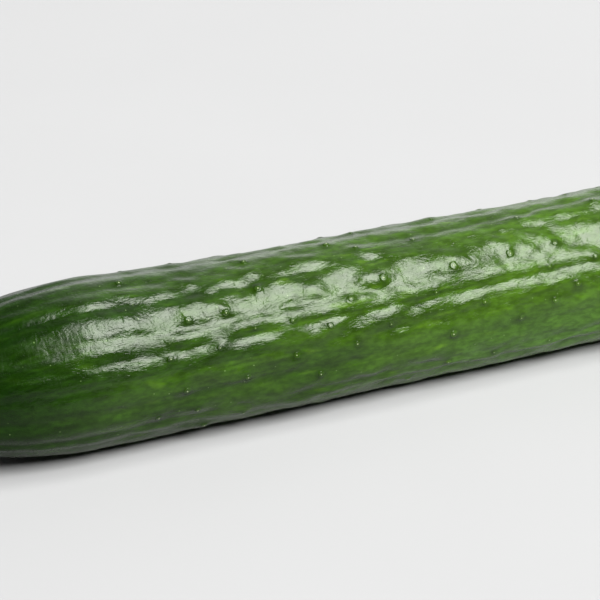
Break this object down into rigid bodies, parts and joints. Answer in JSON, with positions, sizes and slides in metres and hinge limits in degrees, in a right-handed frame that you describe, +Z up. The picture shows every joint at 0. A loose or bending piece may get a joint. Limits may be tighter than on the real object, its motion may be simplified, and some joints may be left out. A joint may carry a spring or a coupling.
{
  "type": "cucumber",
  "caption": "Long slicing cucumber lying on its side: ribbed stem end with a short cut stub, lumpy warty body, rounded blossom end.",
  "frame": {"origin": "middle of the fruit's outline seen from above, at the height of the surface it lies on", "axes": "+X along the fruit from its stem end to its blossom end, +Z up, +Y to the side that both ends bend towards"},
  "size_m": [0.3386, 0.0474, 0.0469],
  "materials": {
    "skin": "smooth waxy fruit skin, dark green, with yellow-green flecks",
    "wart_tip": "pale dry tip of a wart where its spine broke off",
    "cut_stem": "dry cut face of the stem stub",
    "blossom_scar": "dry corky scar where the blossom dropped off"
  },
  "bodies": {
    "root": {"cucumber": "skin"}
  },
  "joints": []
}
